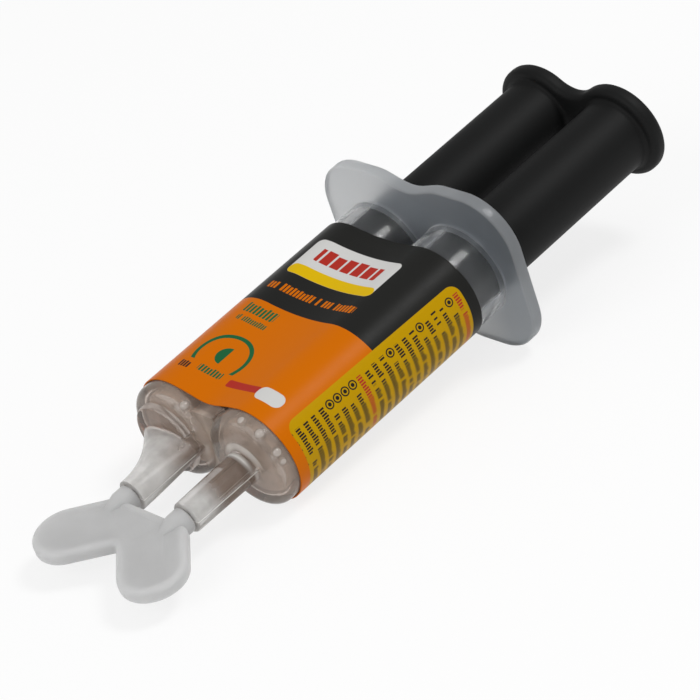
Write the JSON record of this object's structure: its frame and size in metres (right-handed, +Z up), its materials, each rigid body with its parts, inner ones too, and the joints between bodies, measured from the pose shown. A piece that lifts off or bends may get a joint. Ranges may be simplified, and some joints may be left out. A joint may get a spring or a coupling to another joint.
{
  "type": "epoxy glue syringe",
  "caption": "Twin-barrel epoxy glue syringe, lying flat: one push of the joined plunger drives both adhesives out of side-by-side nozzles, closed by a winged pull-off plug.",
  "frame": {"origin": "on the table, under the middle of the lying syringe with its plunger drawn out and its closure fitted", "axes": "+X from the nozzles towards the thumb plate along the table, +Y towards the resin barrel, +Z up; the syringe's own axis rises 6.8 degrees from +X because it lies on its finger flange and its nose"},
  "size_m": [0.0986, 0.0332, 0.0232],
  "materials": {
    "natural_plastic": "translucent, smooth moulded",
    "printed_film": "satin printed film",
    "black_plastic": "fine matte moulded",
    "piston_plastic": "smooth matte moulded",
    "resin": "clear viscous liquid",
    "hardener": "clear viscous liquid",
    "milky_plastic": "milky, matte moulded"
  },
  "bodies": {
    "syringe_body": {"twin_barrel": "natural_plastic", "label": "printed_film", "resin_charge": "resin", "hardener_charge": "hardener"},
    "plunger_unit": {"plunger": "black_plastic", "resin_piston": "piston_plastic", "hardener_piston": "piston_plastic"},
    "closure": {"tip_closure": "milky_plastic"}
  },
  "joints": [
    {"name": "plunger_push", "type": "slide", "parent": "syringe_body", "child": "plunger_unit", "axis": [-0.993, 0, -0.1184], "range_m": [0, 0.0285], "deforming": ["resin_charge", "hardener_charge"]},
    {"name": "closure_pull", "type": "slide", "parent": "syringe_body", "child": "closure", "axis": [-0.993, 0, -0.1184], "range_m": [0, 0.012]}
  ]
}
